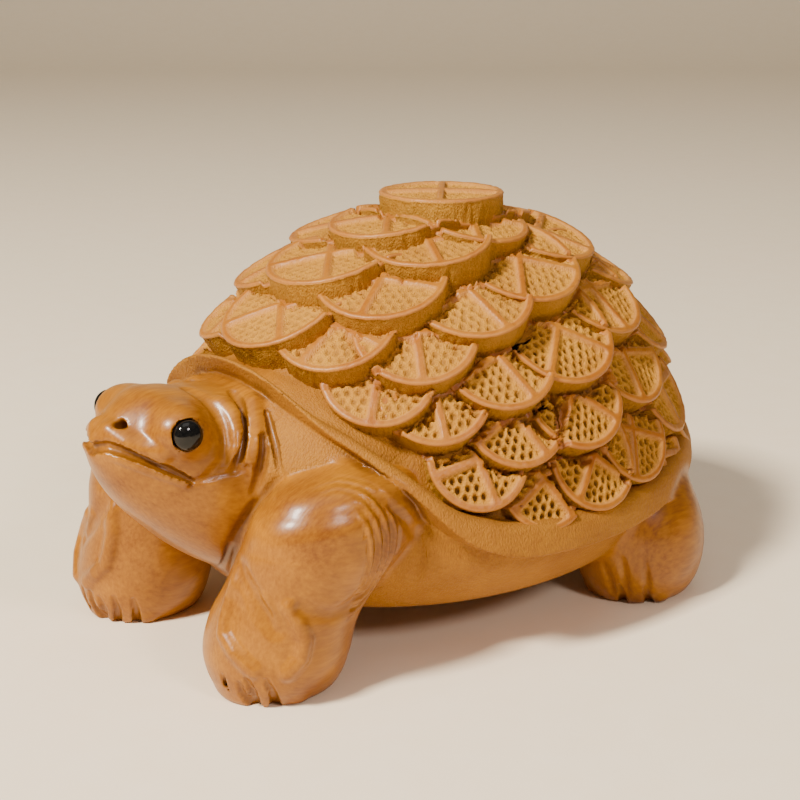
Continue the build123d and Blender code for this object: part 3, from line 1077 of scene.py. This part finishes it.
def tile(plate, seed):
    """Places, faces and marks of one scale."""
    radius = plate["radius"]
    cells = int(round(radius * 2 / grid_step))
    u, v, quads, ring = disc_grid(radius, cells)
    if plate["row"] >= 0:
        bearing = np.hypot(u, v) / np.maximum(np.maximum(np.abs(u), np.abs(v) / tile_rise_share), 1e-6)
        stretch = np.where(v > 0, bearing, 1)
        u, v = u * stretch, v * stretch
    edge = past_edge(plate, u, v) + radius
    reach = np.hypot(u, v)
    inside = panel_depth(plate, u, v)
    panel = smooth_step(inside, 0, panel_slope)
    # The plate's flank share deepens its pits and torn wood, and sets how strongly they are painted darker
    # as shade.
    depth_share = plate["weathering"]
    pit = pits(u, v, inside, seed)
    height = -face_bulge * (reach / radius) ** 2 - panel_sink * panel
    if plate["row"] >= 0:
        height -= tuck_under * smooth_step(v / radius, 0.1, 1.1)
    height -= pit * (0.25 + 0.75 * depth_share) * pit_depth
    on_ribs = grain_lift * value_noise(u / rib_grain, v / rib_grain, seed + 1) * (1 - panel)
    on_panels = panel_lift * value_noise(u / panel_grain, v / panel_grain, seed + 2) * panel
    height += on_ribs + on_panels
    height -= edge_round * smooth_step(edge, radius - edge_round * 1.2, radius) ** 2
    near_wall = wall_gap(on_plate(plate, u, v, height), plate)
    ragged = 0.5 + 0.9 * value_noise(u / tear_grain, v / tear_grain, seed + 3)
    ragged += 0.5 * value_noise(u / tear_patch, v / tear_patch, seed + 4)
    tear_reach = least_tear + np.clip(ragged, 0, 1.3)
    tear = (1 - smooth_step(near_wall, tear_reach, tear_reach + 0.2)) * (0.35 + 0.65 * depth_share)
    height = height - tear * tear_depth
    rib_mark = 1 - smooth_step(inside, -0.05, 0.2)
    # Painted highlight: thin lines along the edges of the ribs and the rim, where the rounded edges catch
    # the light.
    worn = line_share(inside, *rib_highlight_place) + line_share(radius - edge, *rim_highlight_place)
    marks = {
        "rib": rib_mark, "wall": np.zeros(len(u)), "pit": pit * (0.35 + 0.65 * depth_share), "tear": tear,
        "worn": np.clip(worn, 0, 1),
    }
    places = [on_plate(plate, u, v, height)]
    ring_u, ring_v = u[ring], v[ring]
    angle = np.arctan2(ring_v, ring_u)
    for step in range(1, wall_rows + 1):
        down = scale_thickness * (step / wall_rows) ** 1.15
        level = np.full(len(ring), down)
        furrow = value_noise(angle * radius / furrow_width, level / furrow_length, seed + 5)
        scrape = value_noise(angle * radius / scrape_width, level / scrape_length, seed + 6)
        relief = (furrow_relief * furrow + scrape_relief * scrape) * smooth_step(level, 0.1, 0.7)
        grow = 1 - (wall_inset + wall_taper * down + relief) / radius
        places.append(on_plate(plate, ring_u * grow, ring_v * grow, height[ring] - down))
    places = np.concatenate(places)
    rows = [ring] + [len(u) + step * len(ring) + np.arange(len(ring)) for step in range(wall_rows)]
    skirt = [
        np.stack([upper, lower, np.roll(lower, -1), np.roll(upper, -1)], 1)
        for upper, lower in zip(rows, rows[1:])
    ]
    faces = np.concatenate([quads] + skirt)
    for mark, values in marks.items():
        marks[mark] = np.concatenate([values, np.full(wall_rows * len(ring), float(mark == "wall"))])
    return places, faces[~buried(places[faces].mean(1), plate)], marks


rib_light = (0.41, 0.16, 0.009, 1)
rib_dark = (0.28, 0.075, 0.002, 1)
panel_light = (0.60, 0.28, 0.022, 1)
panel_dark = (0.38, 0.145, 0.008, 1)
wall_light = (0.44, 0.205, 0.012, 1)
wall_dark = (0.26, 0.105, 0.003, 1)
painted_pit_shade = (0.05, 0.016, 0.005, 1)
painted_tear_shade = (0.33, 0.10, 0.03, 1)
painted_highlight_pink = (0.62, 0.28, 0.085, 1)
panel_roughness = 0.62
rib_polish = 0.2
rib_coat = 0.06
scratch_depth = 0.16


def scale_wood():
    material, tree, shader = new_material("boxwood_scales")
    rib, wall, pit, tear, worn = (mark_of(tree, name) for name in ("rib", "wall", "pit", "tear", "worn"))
    panel = placed_group(tree, grain_group, Light=panel_light, Dark=panel_dark, Contrast=0.7)
    ribs = placed_group(tree, grain_group, Light=rib_light, Dark=rib_dark, Contrast=1.0)
    walls = placed_group(tree, grain_group, Light=wall_light, Dark=wall_dark, Contrast=0.8)
    marks = placed_group(tree, marks_group, Strength=1.0, Size=1.3)
    colour = mix_colours(tree, rib, panel.outputs["Color"], ribs.outputs["Color"])
    # Painted highlight: pale pink lines along the rib and rim edges.
    colour = mix_colours(tree, math_node(tree, "MULTIPLY", worn, 0.4), colour, painted_highlight_pink)
    colour = mix_colours(tree, wall, colour, walls.outputs["Color"])
    # Painted shade: the torn wood beside the wall of the tile above is darkened towards red-brown.
    colour = mix_colours(tree, math_node(tree, "MULTIPLY", tear, 0.5), colour, painted_tear_shade)
    # Painted shade: the pits are darkened towards a near-black brown, as if shade fell in them.
    colour = mix_colours(tree, math_node(tree, "MULTIPLY", pit, 0.85), colour, painted_pit_shade)
    tree.links.new(colour, shader.inputs["Base Color"])
    rough = math_node(tree, "MULTIPLY_ADD", rib, -rib_polish, panel_roughness)
    tree.links.new(rough, shader.inputs["Roughness"])
    tree.links.new(math_node(tree, "MULTIPLY", rib, rib_coat), shader.inputs["Coat Weight"])
    shader.inputs["Coat Roughness"].default_value = 0.22
    shader.inputs["Specular IOR Level"].default_value = 0.3
    bare = math_node(tree, "SUBTRACT", 1.0, math_node(tree, "MULTIPLY", rib, 0.85))
    strokes = math_node(tree, "MULTIPLY", marks.outputs["Height"], bare)
    tree.links.new(bumped(tree, strokes, scratch_depth), shader.inputs["Normal"])
    return material


scale_material = scale_wood()
row_names = ["crown_row", "second_row", "third_row", "fourth_row", "fifth_row", "lowest_row"]
# Steeper plates, and plates turned less towards the front, get deeper pits, more torn wood and stronger
# painted shade in both.
for plate in plates:
    toward_front = -plate["axes"][2][1]
    steep = 1 - plate["axes"][2][2]
    plate["weathering"] = float(np.clip(0.1 + 1.9 * steep - 0.9 * max(toward_front, 0), 0.08, 1))
for row in range(-1, len(row_radii)):
    name = "crown_scale" if row < 0 else row_names[row]
    row_places, row_faces, row_marks, start = [], [], [], 0
    for seed, plate in enumerate(plates):
        if plate["row"] != row:
            continue
        corner_places, corner_faces, corner_marks = tile(plate, 100 * seed)
        row_places.append(corner_places)
        row_faces.append(corner_faces + start)
        row_marks.append(corner_marks)
        start += len(corner_places)
    row_places, row_faces = np.concatenate(row_places), np.concatenate(row_faces)
    merged = {key: np.concatenate([marks[key] for marks in row_marks]) for key in row_marks[0]}
    corner_places, corner_faces, *values = used_only(row_places, row_faces, *merged.values())
    piece = wood_mesh(name, corner_places, corner_faces, dict(zip(merged, values)))
    piece.data.materials.append(scale_material)
    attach(piece, "root")


# Eyes: black glass beads, domed and polished, glued into sockets in the eyelids.
bead_rows = 14
bead_turns = 48
bead_dome = 1.15
bead_seat_depth = 0.9


def bead_mesh(side):
    """A short round body that runs out into a dome, turned about the eye's axis."""
    axis = eye_axis(side)
    across = np.cross(axis, [0, 0, 1])
    across /= np.linalg.norm(across)
    up = np.cross(across, axis)
    seat = eye_spot * [side, 1, 1] + axis * (eyelid_radius - eye_seat)
    rings = [(eye_radius, 0.0), (eye_radius, bead_seat_depth)]
    for step in range(1, bead_rows):
        angle = step / bead_rows * pi / 2
        rings.append((eye_radius * cos(angle), bead_seat_depth + bead_dome * sin(angle)))
    turns = np.linspace(0, 2 * pi, bead_turns, endpoint=False)
    ring_places = [
        seat + out * axis + radius * (np.cos(turns)[:, None] * across + np.sin(turns)[:, None] * up)
        for radius, out in rings
    ]
    tip = (seat + (bead_seat_depth + bead_dome) * axis)[None]
    bead_places = np.concatenate(ring_places + [seat[None], tip])
    index = np.arange(len(rings) * bead_turns).reshape(len(rings), bead_turns)
    bead_faces = []
    for lower, upper in zip(index, index[1:]):
        bead_faces += np.stack([lower, np.roll(lower, -1), np.roll(upper, -1), upper], 1).tolist()
    bottom, top = len(bead_places) - 2, len(bead_places) - 1
    bead_faces += [[a, bottom, b] for a, b in zip(index[0], np.roll(index[0], -1))]
    bead_faces += [[a, b, top] for a, b in zip(index[-1], np.roll(index[-1], -1))]
    mesh = bpy.data.meshes.new("bead")
    mesh.from_pydata(in_frame(bead_places).tolist(), [], [[int(i) for i in face] for face in bead_faces])
    mesh.validate()
    mesh.shade_smooth()
    return mesh


glass_black = (0.002, 0.002, 0.002, 1)
glass_haze = (0.010, 0.009, 0.008, 1)


def black_glass():
    material, tree, shader = new_material("black_glass")
    place = tree.nodes.new("ShaderNodeTexCoord").outputs["Object"]
    haze = noise_node(tree, place, 0.5, 4)
    colour = mix_colours(tree, ramp(tree, haze, 0.35, 0.75), glass_black, glass_haze)
    tree.links.new(colour, shader.inputs["Base Color"])
    tree.links.new(math_node(tree, "MULTIPLY", haze, 0.14), shader.inputs["Roughness"])
    shader.inputs["Specular IOR Level"].default_value = 0.35
    tree.links.new(bumped(tree, haze, 0.015), shader.inputs["Normal"])
    return material


glass = black_glass()
for side, node in ((1, "left_eye"), (-1, "right_eye")):
    bead = bpy.data.objects.new(node + "_bead", bead_mesh(side))
    bpy.context.scene.collection.objects.link(bead)
    bead.data.materials.append(glass)
    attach(bead, "root")
    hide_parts(node)


# Table and light: a pale matt table that curves up behind, a key light from the upper left front,
# and soft fill from the other side.
table_front = 1.2
table_side = 2.4
bend_start = 0.9
bend_radius = 0.3
table_back = (1.2, 1.4)
table_colour = (0.93, 0.79, 0.57, 1)
table_tint = (0.94, 0.81, 0.60, 1)
table_roughness = 0.75
profile = [(-table_front, 0.0), (bend_start, 0.0)]
for angle in range(15, 91, 15):
    turn = radians(angle)
    profile.append((bend_start + bend_radius * sin(turn), bend_radius - bend_radius * cos(turn)))
profile.append(table_back)
table_turn = radians(camera_azimuth)
corners = []
for along, rise in profile:
    for across in (-table_side, table_side):
        corners.append((
            across * cos(table_turn) - along * sin(table_turn),
            across * sin(table_turn) + along * cos(table_turn),
            rise,
        ))
strips = [(2 * i, 2 * i + 1, 2 * i + 3, 2 * i + 2) for i in range(len(profile) - 1)]
floor_mesh = bpy.data.meshes.new("table")
floor_mesh.from_pydata(corners, [], strips)
floor_mesh.shade_smooth()
floor = bpy.data.objects.new("table", floor_mesh)
bpy.context.scene.collection.objects.link(floor)
floor_material, floor_tree, floor_shader = new_material("table_paper")
paper = noise_node(floor_tree, floor_tree.nodes.new("ShaderNodeTexCoord").outputs["Object"], 6.0, 5)
paper_colour = mix_colours(floor_tree, ramp(floor_tree, paper, 0.3, 0.7), table_colour, table_tint)
floor_tree.links.new(paper_colour, floor_shader.inputs["Base Color"])
floor_shader.inputs["Roughness"].default_value = table_roughness
floor.data.materials.append(floor_material)


def lamp(name, azimuth, height, distance, side, power, colour):
    """A square soft box that looks at the turtle. Azimuth 0 is in front of its nose."""
    data = bpy.data.lights.new(name, "AREA")
    data.size = side
    data.energy = power
    data.color = colour
    light = bpy.data.objects.new(name, data)
    turn, level = radians(azimuth), cos(radians(height))
    place = np.array([sin(turn) * level, -cos(turn) * level, sin(radians(height))]) * distance
    light.location = place + [0, 0, lamp_aim_height]
    light.rotation_euler = (radians(90 - height), 0, turn)
    bpy.context.scene.collection.objects.link(light)


lamp_aim_height = 0.025
room_colour = (0.95, 0.92, 0.88, 1)
room_light = 0.15
lamp("key", 2, 46, 0.75, 0.12, 12, (1.0, 0.93, 0.84))
lamp("fill", 85, 35, 0.9, 0.16, 3, (1.0, 0.88, 0.88))
lamp("top", 60, 80, 0.9, 0.6, 1.5, (1.0, 0.96, 0.92))
world = bpy.data.worlds.new("room")
world.use_nodes = True
room = world.node_tree.nodes["Background"].inputs
room["Color"].default_value = room_colour
room["Strength"].default_value = room_light
bpy.context.scene.world = world
